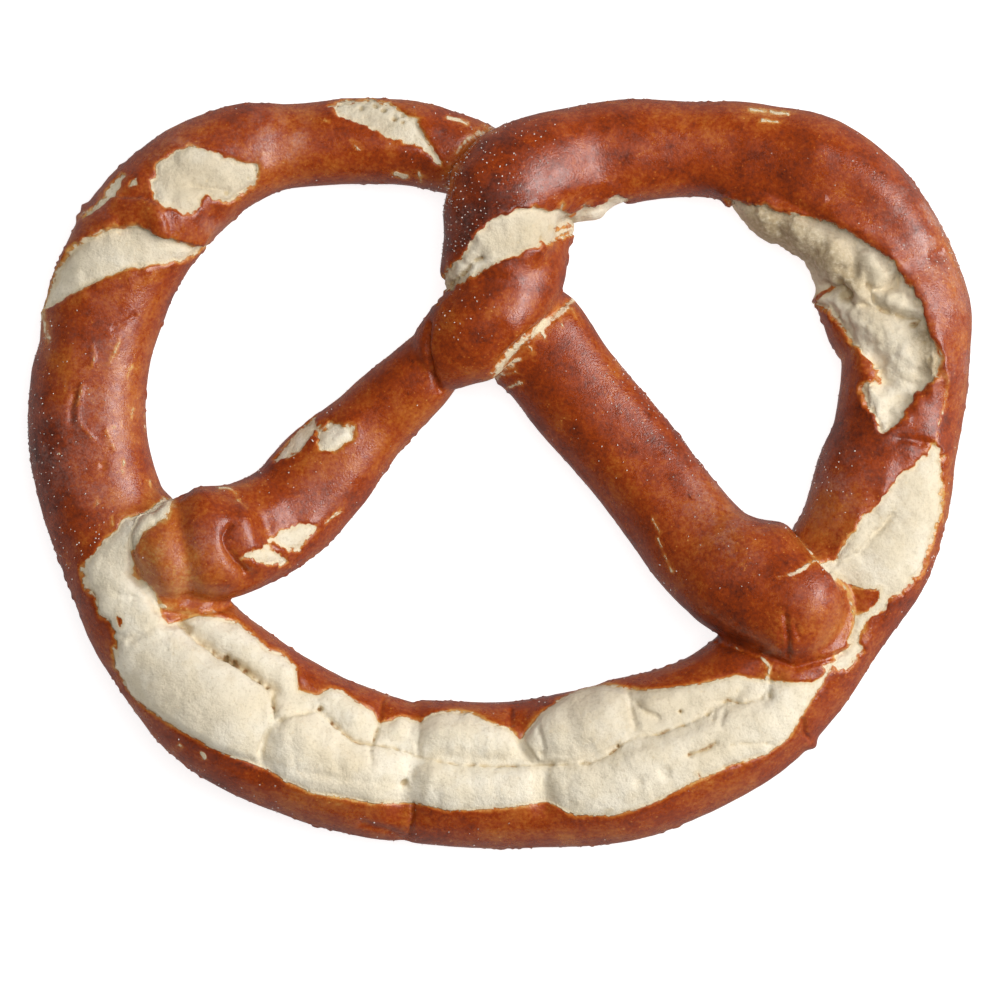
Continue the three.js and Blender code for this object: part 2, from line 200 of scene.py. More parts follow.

# Small holes and round dents in the skin: x, y, reach, depth and how dark the painted shade in
# them is.
HOLES = [
    (-51.6, -35, 0.7, 0.6, 1), (-50.2, -35.7, 0.6, 0.5, 1), (-45.2, -39.6, 0.6, 0.7, 1),
    (-43.8, -40.6, 0.5, 0.6, 1), (-54, -33.8, 0.5, 0.5, 0.8), (-47.8, -37.2, 0.5, 0.4, 0.8),
    (-33.9, -44.6, 0.6, 0.8, 0.9), (-18, -58.4, 0.8, 0.7, 0.6), (-31.6, -47.2, 0.4, 0.4, 0.8),
    (26.3, -58.3, 1, 0.45, 0.1), (31.2, -56.5, 1.3, 0.55, 0.1), (42.6, -43.4, 0.5, 0.5, 0.6),
    (34.2, -45.1, 0.5, 0.8, 1), (22.5, -51.6, 0.45, 0.6, 1), (39.3, -45.7, 0.5, 0.4, 0.7),
    (78.2, 28.1, 0.7, 0.7, 0.8), (77.4, 13.9, 0.9, 0.7, 0.3), (44.2, -55.3, 0.4, 0.3, 0.5),
    (7.9, -52.8, 0.4, 0.4, 0.3), (-62.8, -33.5, 0.4, 0.2, 0.2), (50.6, -51.2, 0.4, 0.2, 0.4),
    (9.6, -57.4, 0.3, 0.2, 0.5), (-75, 1.3, 0.8, 0.4, 0), (82.9, 41.3, 1.5, 0.7, 0),
    (-51.7, 53, 0.5, 0.4, 0.6), (-46.2, 57.4, 0.35, 0.3, 0.6), (-47.7, 56, 0.3, 0.3, 0.6),
    (80.3, 24.6, 0.5, 0.4, 0.5), (81.3, 21.6, 0.5, 0.4, 0.5),
    (65.2, 33.5, 1.7, 1.1, 0.7), (64.2, 36, 0.9, 0.6, 0.6),
    (-26.3, 69.4, 0.5, 0.5, 0.6), (-23.7, 70, 0.6, 0.5, 0.7), (-22.1, 69, 0.5, 0.5, 0.7),
    (-20, 67.3, 0.6, 0.6, 0.7), (-18.3, 66.6, 0.5, 0.5, 0.7), (-18.4, 68, 0.5, 0.4, 0.5),
]

# Creases in the crust: the line, how deep it goes and half how wide it is.
CRUST_CREASES = [
    ([(-54, -2.6), (-58.8, -3.6), (-61, -6.5)], 0.8, 0.7),
    ([(-66, -22.6), (-63.6, -26.4), (-58.8, -27), (-51.2, -25.2)], 0.7, 0.7),
    ([(52, -9), (56.8, -12.6), (62.4, -18.4)], 0.7, 0.6),
    ([(62.4, -18.4), (66.4, -24.2), (67.4, -30.4), (65.4, -34)], 0.3, 0.5),
    ([(65.4, -34), (62.4, -35.2), (56, -36.8), (48.8, -34.4), (40.8, -31.6)], 0.9, 0.6),
    ([(-13.5, 28.6), (-13.8, 24.4), (-12.8, 19), (-11.3, 15.8)], 0.8, 0.5),
    ([(-1.8, 66.2), (-6, 62.4), (-9, 56.6), (-10.4, 51.8)], 1, 0.7),
    ([(-50.8, -10.2), (-51.9, -12.4), (-51.2, -14.4), (-50, -16.2), (-48, -18.6)], 1, 0.5),
    ([(-16.4, -62.8), (-16.8, -66.8), (-17, -68.6), (-19, -70.6)], 0.8, 0.45),
    ([(57.6, -46.8), (58, -49.6), (59.2, -51)], 0.7, 0.4),
    ([(-26, -66.4), (-22, -67.6), (-18.6, -69.2)], 0.5, 0.8),
    ([(-22.2, -43.2), (-22.8, -46.6)], 0.6, 0.5),
    ([(2.2, -45), (2.3, -47.6)], 0.7, 0.5),
    ([(14, 33.6), (11.6, 31.2), (5, 25.6), (0.4, 21), (-3, 17.8)], 0.7, 0.7),
    ([(75.8, 6.6), (78.6, 6.2), (81.6, 5.6)], 0.6, 0.8),
    ([(-69.1, 29.8), (-73.2, 27.2)], 0.35, 0.35),
    ([(-80.4, 15), (-81.2, 12), (-81.1, 9.6)], 0.5, 0.6),
    ([(54, -27), (54.4, -31), (54.7, -34.4)], 0.8, 0.45),
    ([(55.6, -28.4), (56.8, -31.6)], 0.3, 0.3), ([(52.9, -29.4), (53.6, -33)], 0.25, 0.3),
]

# Crust edges that stand up beside a tear, on the left of the line: the line, rise and reach.
STANDING_EDGES = [
    ([(-87, 31.5), (-81.8, 41.4), (-73.4, 46.2), (-68.4, 46.8), (-63.2, 44.8), (-56, 43.3)],
     0.9, 4),
    ([(43.4, 52.6), (53, 49.6), (64, 47), (73.4, 41.2), (79.2, 33.2), (82.6, 23.6),
      (83.8, 18.4)], 0.7, 3),
    ([(-4.2, 45.4), (3.8, 49.6), (13.2, 49.6), (21.4, 51.8)], 0.4, 2),
    ([(-63, 44.6), (-63.3, 47.5), (-64.4, 50.3), (-67.4, 51.9), (-71, 51.9)], 0.9, 3),
]

# Wrinkles on the left loop, which stand up and are paler than the crust round them.
OUTER_WRINKLE = [(-79, 16.5), (-79.8, 12.9), (-79.8, 10.1), (-78.7, 8.3), (-76.9, 6.5)]
UPPER_WRINKLE = [(-77, 24.3), (-76.7, 22.2), (-77.1, 20.3)]
MIDDLE_WRINKLE = [(-71.9, 26.2), (-72.3, 24.3), (-74, 20.7)]
LOWER_WRINKLE = [(-74.6, 8.3), (-73.4, 5.5), (-72.9, 4.2)]

# Soft ridges (rise above 0) and valleys (below 0) along the dough: the line, reach and rise.
FOLDS = [
    ([(-60.8, -8.5), (-59.6, -13.7), (-58.8, -19.4), (-58.4, -24)], 1.8, -0.7),
    ([(-64, -13), (-63, -18), (-62.5, -22)], 2.4, 0.5),
    ([(-63, -6.4), (-65.6, -7.6), (-68.1, -9.4), (-69.4, -14.1)], 2.8, 0.95),
    ([(-56.4, -6), (-55.4, -10.8), (-54, -16), (-53, -19.5)], 3, 0.3),
    ([(-51.4, -10.8), (-51.2, -14), (-50, -16.4), (-47.4, -19.6)], 1.4, -0.7),
    ([(-49.9, -4.2), (-46.5, -5.5), (-44.4, -8.9), (-43.2, -12.2)], 1.5, -0.7),
    ([(-48.6, -8.4), (-47.4, -12.4)], 2, 0.6),
    ([(60, 62), (70, 57.5), (78, 50), (83, 41), (85.5, 30), (86, 20)], 5, 0.7),
    ([(66, 52), (74, 46), (80, 38), (83, 31)], 2.6, -0.4),
    ([(15, 29.5), (22, 21.6), (32, 7.4), (40, -4), (46.5, -12)], 3.6, 0.8),
    ([(3, 20), (14, 4), (24, -10)], 4, -0.4),
    (OUTER_WRINKLE, 0.5, 0.4), (UPPER_WRINKLE, 0.4, 0.25),
    (MIDDLE_WRINKLE, 0.4, 0.3), (LOWER_WRINKLE, 0.4, 0.25),
    ([(-74, 24), (-73.5, 25.8)], 1, 0.3),
    ([(-78, 46.5), (-72, 49.4), (-66, 49.6)], 2.2, 0.6),
]

# Pillows of crumb that stand above their neighbours: outline, rise and how wide their edge is.
RAISED_CRUMB = [
    ([(-85, -5), (-66, -5), (-62, -27), (-60, -28.8), (-57, -32.3), (-50.4, -36.4), (-44.8, -40.2),
      (-43.2, -43), (-43.2, -47), (-45, -50), (-45.8, -53), (-45.4, -55), (-53, -52.5),
      (-60, -48.5), (-85, -35)], 0.8, 0.5),
    ([(4.4, -50), (8, -45), (14, -41), (24, -40.6), (24.6, -44), (25.2, -49), (20, -53),
      (13, -54.6), (7.5, -54.6)], 0.7, 0.5),
    ([(43, 53), (49.4, 50.6), (53.2, 49.2), (54, 41), (46, 44)], 0.6, 3),
    ([(53.9, 49.2), (60.8, 47.6), (65.4, 45.4), (66, 41.1), (64.8, 37), (62.2, 35.6), (60, 37.4),
      (57.4, 40), (53.9, 41.6)], 1.1, 3.2),
    ([(68, 45.2), (71.2, 44.2), (74.2, 40.7), (76, 37.9), (74.8, 35.6), (71, 34.6), (69.8, 36.6),
      (68.2, 40)], 1.2, 2.6),
    ([(71, 33.6), (72.8, 35), (76.8, 36), (80, 33.3), (80, 30), (76.8, 29.8), (73.4, 30.7)],
     1.1, 2),
    ([(66, 36), (69.5, 35.6), (70.6, 33), (68.4, 31.6), (65.9, 32.2)], 0.7, 1.8),
    ([(62, 32.6), (66, 31.4), (72, 30.8), (78.4, 28.2), (80.4, 22), (81, 17), (76, 13), (72.6, 9),
      (70.4, 15), (73.6, 18), (70, 24), (66, 27)], 0.6, 3),
]

# Low bulges (rise above 0) and dents (below 0) of the whole skin: x, y, reach, rise.
SWELLINGS = [
    (-62, 47, 5, 0.5), (54, -17, 5, 0.4), (61, -22, 5, 0.3),
    (84, 4, 4, 0.7), (60, 61.2, 2.5, 0.4), (-82, -14.5, 2, -0.5),
]

# Bulges of the dough's sides as well as its top: x, y, reach, rise.
BULGES = [
    (-57, -4.6, 3.6, 1.3), (-62.4, -6, 2.4, 1.2), (53.5, -11, 3.4, 1.6),
    (-78.6, 50.4, 0.9, 0.8), (-79.8, 48.6, 0.8, 0.6), (60.4, 32.8, 0.9, 1.5),
    (60.8, 35.2, 1.1, -1.6), (59.5, -51.6, 1.2, 1),
    (18.8, 48.6, 2.2, 1.3), (-87.5, 25, 3.2, -0.7),
    (14, 45.8, 2, 1.2), (14.4, 48, 1.6, 1), (-1.2, 17.6, 3.2, 1.1),
]

# Stretched, paler bands of crust: the line, half its width and how pale it is.
PALE_BANDS = [
    ([(-0.6, 66.2), (-3.4, 64.8), (-5.8, 63.2), (-7.6, 60.8), (-9.2, 57), (-10.4, 53)], 1.7, 0.5),
    ([(-0.8, 66.2), (-4, 65), (-6.6, 63), (-8.2, 60.6)], 0.4, 0.8),
    ([(14.2, 33.2), (12, 30.9), (9.8, 29.2), (5.4, 25.2), (0.8, 20.7), (-3, 17.4)], 0.75, 1.05),
    ([(8, 27.4), (8.8, 25)], 0.28, 0.95), ([(5.6, 25), (6.2, 22.4)], 0.28, 0.95),
    ([(13.2, 31.4), (13.9, 29.6)], 0.28, 0.9), ([(11.2, 29.6), (11.8, 27.8)], 0.28, 0.9),
    ([(0.2, 18.6), (2.8, 19.1), (4.2, 18.5)], 0.3, 0.9),
    ([(-1.4, 17.2), (1.6, 16.3), (4, 17)], 0.3, 0.95), ([(2.4, 20.8), (3.8, 21.4)], 0.4, 1),
    ([(12.6, 31.4), (6, 25.2), (0.6, 19.4)], 1.5, 0.5),
    ([(1.6, 20.6), (-1.8, 16.8)], 1.6, 0.8),
    ([(84.4, 17.6), (84.4, 13.2), (83.2, 9.6), (82.4, 5.6)], 0.3, 0.85),
    ([(60.4, -16.4), (58.6, -17.3), (56.6, -18.7), (55.2, -19.3)], 0.42, 1.1),
    ([(56.8, -18.6), (54.8, -19.4), (52.6, -19.7)], 0.28, 0.95),
    ([(60.1, -16.7), (57.5, -18), (54.5, -19.6)], 1.2, 0.4),
    ([(55.4, -10.8), (56.9, -13), (58.4, -14.4), (60, -16)], 0.3, 0.75),
    ([(44.2, -32.7), (48, -34.4), (50.5, -35)], 0.25, 0.6),
    ([(49.9, -35.2), (51.3, -36.8), (50.6, -39), (50.8, -41.2)], 0.5, 1.1),
    ([(63.1, -18.8), (65.8, -22.2), (67, -26.4)], 0.3, 0.8),
    ([(28.9, -8.7), (30.3, -11.2)], 0.25, 0.95),
    ([(30, -12.4), (31.2, -15.4), (32.6, -18.6)], 0.3, 1.0),
    ([(-9.8, 67.6), (-8.2, 67.2), (-6.2, 66.4)], 0.5, 1.1),
    ([(-19.9, 56.9), (-17.6, 56.3)], 0.5, 1.1), ([(-15.2, 57.2), (-15, 55.8)], 0.4, 1.1),
    ([(-28.3, 63.1), (-26.8, 61.4)], 0.25, 0.85), ([(-33, 66.8), (-32.2, 66.6)], 0.4, 0.9),
    ([(47.6, 69), (50.6, 68.6)], 0.5, 1.1), ([(51.6, 68.6), (54.8, 68.2)], 0.5, 1.1),
    ([(49.8, 66.9), (53, 66.5)], 0.35, 1.1),
    (UPPER_WRINKLE, 0.2, 0.8), (MIDDLE_WRINKLE, 0.22, 0.8),
    (OUTER_WRINKLE, 0.22, 0.8), (LOWER_WRINKLE, 0.2, 0.75),
    ([(-71.2, 2.7), (-71.5, 0)], 0.25, 0.95),
    ([(-76.5, -4.2), (-76.3, -6.1)], 0.2, 0.85), ([(-73.4, -8.7), (-73.1, -10.6)], 0.2, 0.85),
    ([(-64.3, -25), (-62, -25.8)], 0.6, 0.85),
    ([(-61, -27), (-56, -26.4), (-52.5, -25.8)], 0.7, 0.5),
    ([(-60.6, -51.4), (-60, -51.8)], 0.35, 0.95), ([(-56.4, -53), (-55.8, -54)], 0.4, 0.95),
    ([(-79.4, 48.2), (-75.4, 50.8), (-72.8, 53.4)], 0.7, 0.6),
    ([(-87.2, 31), (-86.4, 28.6), (-86, 25.5)], 1, 0.8),
    ([(-67.4, 10.8), (-67.4, 8.4)], 0.18, 0.9), ([(-69.7, 20.3), (-70.4, 18.6)], 0.18, 0.8),
    ([(-69.4, 12.5), (-69.8, 10.8)], 0.18, 0.8), ([(-83.5, 4.7), (-83.5, 3.6)], 0.2, 0.8),
    ([(-74.1, 8.4), (-71.4, 9.1)], 0.16, 0.85), ([(-66.2, -1.4), (-66.1, -2.4)], 0.2, 0.9),
    ([(-53, -3.2), (-51.2, -2.9), (-49.8, -3.5)], 0.35, 0.8),
    ([(-49.5, -4.6), (-48.4, -5.6), (-47.6, -6.8)], 0.22, 0.9),
    ([(-33, -9.6), (-31.6, -8.2), (-30.4, -7.3)], 0.3, 0.9),
]

# Where the oven browned the crust more (above 0) or less (below 0). Some spots are painted shade
# instead, in the crease under the right arm's end and on the left loop's outer side, and the spots
# that pale the left arm's end are painted light: x, y, reach, amount.
BROWNING_SHADE_AND_LIGHT = [
    (-5, 47, 8, 1.1), (-65.5, -17, 5, -0.55), (84, 44, 9, -0.35), (46, -33, 4, 0.7),
    (4, 60, 12, 0.5), (-88, 8, 10, 0.9), (-80, -20, 12, 0.3), (72, 50, 9, 0.3),
    (50, -23, 11, 0.3), (20, 8, 9, 0.85), (33, -6, 7, 0.35), (-72, 12, 7, -0.4),
    (64, 8, 8, 0.6), (-62, -16, 8, -0.5), (54.2, -34.8, 1.5, 1), (50.6, -34.1, 1.3, 0.8),
    (57.4, -34.6, 1.3, 0.8), (54.5, -31, 1.2, 0.5), (82.9, 41.3, 1.8, 0.8),
    (-30, 0, 6, -0.1), (88, 30, 7, -0.3), (-66, 25, 7, -0.3), (62, -29, 5, -0.9),
    (40, -25, 7, 0.3), (10, 18, 7, 0.2), (45, 60, 10, 0.2),
]

# Where the crust is blended towards a pale pink-grey: partly flour and fine salt on it, partly a
# painted sheen that widens and brightens its highlights: x, y, reach, amount.
DUST_AND_SHEEN = [
    (38, -3, 5, 0.6), (-54.5, 46.5, 2.5, 0.6), (-44, 62.5, 5, 0.75), (-38, 63.5, 3, 0.4),
    (83, 46, 7, 0.9), (79, 50, 5, 0.4), (87, 34, 6, 0.6), (88, 20, 5, 0.5), (79, 55, 6, 0.4),
    (-74, 26, 6, 0.4), (-76, 12, 7, 0.5), (-75, -2, 6, 0.4), (-88, 2, 8, 0.4),
    (-79, 52, 6, 0.5), (-7, 48, 6, 0.25), (62, -2, 7, 0.5), (44, -12, 6, 0.5),
    (60, -24, 4, 0.3), (-60, 60, 6, 0.4), (-62, -17, 6, 0.4), (-54, -14, 4, 0.4),
    (40, 9, 5, 0.4), (30, 22, 5, 0.3), (-33, -4, 5, 0.3),
]

# Where the crumb is painted darker, as painted shade: most in the sunk burst on the right loop and
# beside the left arm's end, less in the other tears: x, y, reach, amount.
CRUMB_SHADE_SPOTS = [
    (48, 48.5, 6, 0.7), (55, 45.5, 6, 0.8), (62, 41, 5, 0.8), (66, 36, 4, 0.7),
    (81, 26, 3, 0.8), (82, 20, 3, 0.8), (71, 40, 4, 0.3), (-70, -16, 5, 0.15),
    (64, -22, 5, 0.4), (-9, 35.5, 3, 0.6), (14, 49.5, 3, 0.4), (75.6, 11, 3, 0.2),
    (65.5, -31, 4, 0.3), (-70, 40, 12, 0.12), (-56, 55, 10, 0.45), (-24, 66, 9, 0.4),
    (6, 45, 8, 0.35), (76, -8, 14, 0.3), (36, -46, 14, 0.22), (17, -46, 8, 0.28),
    (71, 30, 4, 0.35), (74, 26, 10, 0.25), (-60, -42, 12, 0.15),
]

# The arms' ends that lie on the belly: from, to, half width and half height of the dough.
ARM_ENDS = [
    ((-46.5, -12.3, 12.5), (-60.5, -16, 17.7), 8.4, 9.9),
    ((46.8, -21, 15.3), (57, -26.2, 18), 10.3, 10.9),
]


# ---------------------------------------------------------------- measuring on the skin

# Everything here is in millimetres. A point with nothing near it counts as this far away.
FAR = 30.0

# How far round a shape its effect is worked out.
WIDE_MARGIN, MARGIN, NARROW_MARGIN = 6, 4, 3

# Layers of uneven relief: rise, size of the lumps and, where one stands apart, its shift.
EDGE_WOBBLE = [(1.2, 2.6), (0.8, 1.1)]
LINE_JAG = [(0.5, 1.6, 7.3), (0.25, 0.8, 3.1)]
CRUST_SWELLS = [(0.45, 17), (0.2, 6.5)]
CRUST_GOOSEFLESH = [(0.07, 2.4), (0.03, 1.1)]
CRUMB_LUMPS = [(0.5, 5.5), (0.2, 2.3), (0.08, 1.2)]
CRUMB_PLEATS = [(0.3, 2.6, 1.7), (0.12, 1.3, 6.1)]

# The belly's split is cut clean, and its edge is ragged only at its two back ends.
SPLIT_MIDDLE = -3
SPLIT_ENDS = (56, 64)
SPLIT_BACK = (-44, -36)
CLEAN_CUT = 0.12

# How far the crumb reaches down a side: deep tears go further under than shallow ones.
SUNK_STEPS = (0.1, 0.3, 0.9)
OVERHANG_STEPS = (0.12, 0.3, 0.75)
EDGE_PER_TURN = 7
DEEP_TEAR, LOWEST_CRUMB, LOWEST_DEEP_CRUMB = 0.35, 7.5, 3
BIT_WOBBLE = 0.6

# The burst on the right loop is sunk deepest and has the roughest crumb.
BURST_SUNK = 0.8
BURST_ROUGHNESS, TEAR_ROUGHNESS = 1.1, 0.75

# The arms' ends keep the crumb away as if they were this many times as thick.
ARM_CLEARANCE = 1.04

# Relief and pale bands start at the first height over the tray and first upward turn of the skin,
# and are full from the second. Towards the underside all relief fades out again.
CLEAR_OF_TRAY = (5, 9)
FACING_UP = (0.15, 0.55)
FACING_OUT = (-0.1, 0.2)
UNDERSIDE = (4, 0.3)

# A crack this deep pinches the crumb beside it, and a shallower one less.
FULL_CRACK = 0.7
FAINT_CRACK_OFFSET = 2.4

# How far each kind of line strays from its course with the jag.
CRACK_WANDER, HOLE_WANDER, CREASE_WANDER, PALE_WANDER = 1, 0.7, 0.4, 0.85

# Half the width over which crust turns to crumb, how deep a tear of depth 1 lies, and how far
# from its edge the crumb has mostly swelled up again.
SOFT_EDGE, TEAR_DEPTH, PUFF_REACH = 0.25, 1.5, 1.8

# The torn crust's own low lip, and the blisters' height.
LIP_FROM_EDGE, LIP_REACH, LIP_RISE = 0.7, 0.8, 0.18
BLISTER_RISE = 0.29

# Standing edges and folds are worked out to this many times their reach.
EDGE_SPAN, FOLD_SPAN = 2, 2.2


def distance_to_line(xy, line):
    """Each point's distance to a line through several points, and the side it lies on."""
    nearest = np.full(len(xy), FAR)
    side = np.zeros(len(xy))
    for (ax, ay), (bx, by) in zip(line, line[1:]):
        run = np.array([bx - ax, by - ay])
        offset = xy - (ax, ay)
        share = np.clip(offset @ run / (run @ run), 0, 1)
        gap = np.hypot(*(offset - share[:, None] * run).T)
        closer = gap < nearest
        nearest[closer] = gap[closer]
        turn = run[0] * offset[:, 1] - run[1] * offset[:, 0]
        side[closer] = np.sign(turn[closer])
    return nearest, side


def depth_inside(xy, outline):
    """How far inside an outline each point lies; outside, how far out, below 0."""
    closed = outline + outline[:1]
    nearest, _ = distance_to_line(xy, closed)
    x, y = xy.T
    crossings = np.zeros(len(xy), int)
    for (ax, ay), (bx, by) in zip(closed, closed[1:]):
        spans = (ay > y) != (by > y)
        if ay != by:
            crossings += spans & (x < ax + (y - ay) * (bx - ax) / (by - ay))
    return np.where(crossings % 2 == 1, nearest, -nearest)


def near(xy, shape, margin):
    """The numbers of the points that lie in the shape's box grown by a margin."""
    low = np.min(shape, axis=0) - margin
    high = np.max(shape, axis=0) + margin
    return np.flatnonzero(np.all((xy > low) & (xy < high), axis=1))


def ease(value, low, high):
    share = np.clip((value - low) / (high - low), 0, 1)
    return share * share * (3 - 2 * share)


def hill(distance, reach):
    return np.exp(-((distance / reach) ** 2))


LATTICE = np.random.default_rng(SEED)
SHUFFLE = LATTICE.permutation(256)
SLOPES = LATTICE.normal(size=(256, 3))
SLOPES /= np.linalg.norm(SLOPES, axis=1)[:, None]


def lumps(points, size, shift=0.0):
    """Smooth uneven relief, about 0.7 up and down, whose lumps have the given size."""
    cell = points / size + shift
    corner = np.floor(cell).astype(int)
    inside = cell - corner
    fade = inside**3 * (inside * (inside * 6 - 15) + 10)
    total = np.zeros(len(points))
    for step in np.ndindex(2, 2, 2):
        index = SHUFFLE[(corner[:, 0] + step[0]) & 255]
        index = SHUFFLE[(index + corner[:, 1] + step[1]) & 255]
        index = SHUFFLE[(index + corner[:, 2] + step[2]) & 255]
        weight = np.prod(np.where(step, fade, 1 - fade), axis=1)
        total += weight * np.einsum("ij,ij->i", SLOPES[index], inside - step)
    return total


def layered(points, layers):
    return sum(rise * lumps(points, *kind) for rise, *kind in layers)


def outside_arm_ends(points):
    """How many millimetres outside the arms' ends each point lies."""
    outside = np.full(len(points), FAR)
    for start, end, half_width, half_height in ARM_ENDS:
        start, run = np.array(start), np.subtract(end, start)
        share = np.clip((points - start) @ run / (run @ run), 0, 1)
        offset = points - start - share[:, None] * run
        flat = np.hypot(offset[:, 0], offset[:, 1]) / half_width
        ratio = np.hypot(flat, offset[:, 2] / half_height)
        outside = np.minimum(outside, (ratio - ARM_CLEARANCE) * half_width)
    return outside


class Skin:
    """What the skin is at each of its points: crust or crumb, cracked, creased, pale, baked."""

    def __init__(self, points, normals):
        self.points = points
        self.xy = points[:, :2]
        self.up = normals[:, 2]
        self.above_tray = ease(points[:, 2], *CLEAR_OF_TRAY)
        self.on_top = self.above_tray * ease(self.up, *FACING_UP)
        self.jag = layered(points, LINE_JAG)
        self.measure_crumb()
        self.measure_cracks()
        self.measure_holes()
        self.measure_creases()
        self.measure_pale_bands()

    def everywhere(self, value):
        return np.full(len(self.points), float(value))

    def wandering_gap(self, line, here, wander):
        """How far points lie from a line that wanders a little."""
        return distance_to_line(self.xy[here], line)[0] + wander * self.jag[here]

    def spots(self, places):
        amount = self.everywhere(0)
        for x, y, reach, more in places:
            amount += more * hill(np.hypot(self.xy[:, 0] - x, self.xy[:, 1] - y), reach)
        return amount

    def measure_crumb(self):
        """How far each point lies inside a tear, how deep it is there and how much it swells."""
        self.crumb = self.everywhere(-FAR)
        self.sunk = self.everywhere(0)
        self.swell = self.everywhere(0)
        wobble = layered(self.points, EDGE_WOBBLE)
        for outline, ragged, sunk, swell in TEARS:
            here = near(self.xy, outline, WIDE_MARGIN)
            if outline is BELLY_SPLIT:
                off_middle, back = np.abs(self.xy[here, 0] - SPLIT_MIDDLE), self.xy[here, 1]
                ragged = ragged * ease(off_middle, *SPLIT_ENDS) * ease(back, *SPLIT_BACK)
                ragged = ragged + CLEAN_CUT
            inside = depth_inside(self.xy[here], outline) + ragged * wobble[here]
            if outline in UNDER_THE_ARMS:
                inside = np.minimum(inside, outside_arm_ends(self.points[here]))
            better = inside > self.crumb[here]
            chosen = here[better]
            self.crumb[chosen] = inside[better]
            self.sunk[chosen] = sunk
            self.swell[chosen] = swell
        facing_down = EDGE_PER_TURN * (self.up + np.interp(self.sunk, SUNK_STEPS, OVERHANG_STEPS))
        lowest = np.where(self.sunk > DEEP_TEAR, LOWEST_DEEP_CRUMB, LOWEST_CRUMB)
        down_the_side = np.minimum(facing_down, self.points[:, 2] - lowest)
        self.crumb = np.minimum(self.crumb, down_the_side + 2 * wobble)
        self.opening = self.crumb.copy()
        for outline in CRUST_BITS:
            here = near(self.xy, outline, NARROW_MARGIN)
            outside = BIT_WOBBLE * wobble[here] - depth_inside(self.xy[here], outline)
            self.crumb[here] = np.minimum(self.crumb[here], outside)

    def measure_cracks(self):
        self.groove = self.everywhere(0)
        self.crack = self.everywhere(0)
        self.to_crack = self.everywhere(FAR)
        strands = 1 - 0.25 * ease(lumps(self.points, 1.1, 2.7), 0.1, 0.4)
        strands *= 0.5 + 0.5 * ease(lumps(self.points, 4.3, 9.1), -0.25, 0.2)
        for line, depth, half, dark in CRUMB_CRACKS:
            here = near(self.xy, line, WIDE_MARGIN)
            gap = np.abs(self.wandering_gap(line, here, CRACK_WANDER))
            faint = FAINT_CRACK_OFFSET * max(0, 1 - depth / FULL_CRACK)
            self.to_crack[here] = np.minimum(self.to_crack[here], gap + faint)
            open_here = hill(gap, half) * strands[here]
            self.groove[here] = np.maximum(self.groove[here], depth * open_here)
            self.crack[here] = np.maximum(self.crack[here], dark * open_here)

    def measure_holes(self):
        for x, y, reach, depth, dark in HOLES:
            here = near(self.xy, [(x, y)], MARGIN)
            off = self.xy[here] - (x, y)
            gap = np.hypot(off[:, 0], off[:, 1]) + HOLE_WANDER * self.jag[here]
            hole = np.exp(-((gap / reach) ** 4))
            self.groove[here] += depth * hole
            self.crack[here] = np.maximum(self.crack[here], dark * hole)

    def measure_creases(self):
        for line, depth, half in CRUST_CREASES:
            here = near(self.xy, line, MARGIN)
            groove = depth * hill(self.wandering_gap(line, here, CREASE_WANDER), half)
            self.groove[here] = np.maximum(self.groove[here], groove)
        self.groove *= self.on_top

    def measure_pale_bands(self):
        self.pale = self.everywhere(0)
        blotches = 0.85 + 0.6 * lumps(self.points, 2.1, 5.5)
        for line, half, strength in PALE_BANDS:
            here = near(self.xy, line, MARGIN)
            gap = self.wandering_gap(line, here, PALE_WANDER)
            bared = strength * hill(gap, half) * blotches[here]
            self.pale[here] = np.maximum(self.pale[here], bared)
        self.pale *= self.above_tray * ease(self.up, *FACING_OUT)

    def crumb_relief(self):
        points = self.points
        inner = np.minimum(self.opening, self.to_crack)
        puff = self.swell * (1 - np.exp(-np.maximum(inner, 0) / PUFF_REACH))
        torn = layered(points, CRUMB_LUMPS)
        torn += np.where(self.sunk > BURST_SUNK, 0.4 * lumps(points, 1.6, 8.8), 0)
        torn += 0.5 * (np.abs(lumps(points, 4.2, 5.2)) - 0.2)
        x, y, z = points.T
        pleats = np.stack([60 * np.arctan2(x, -y), np.hypot(x, y) / 4, z / 4], axis=1)
        torn += layered(pleats, CRUMB_PLEATS)
        lump_height = np.where(self.sunk > BURST_SUNK, BURST_ROUGHNESS, TEAR_ROUGHNESS)
        return puff - self.sunk * TEAR_DEPTH + torn * lump_height

    def blisters(self):
        """Small blisters in patches on the steep sides of the crust."""
        steep = 1 - ease(self.up, 0.05, 0.5)
        blistered = steep * ease(lumps(self.points, 13, 2.2), -0.2, 0.15)
        return BLISTER_RISE * blistered * ease(lumps(self.points, 1.2, 4.4), 0.2, 0.5)

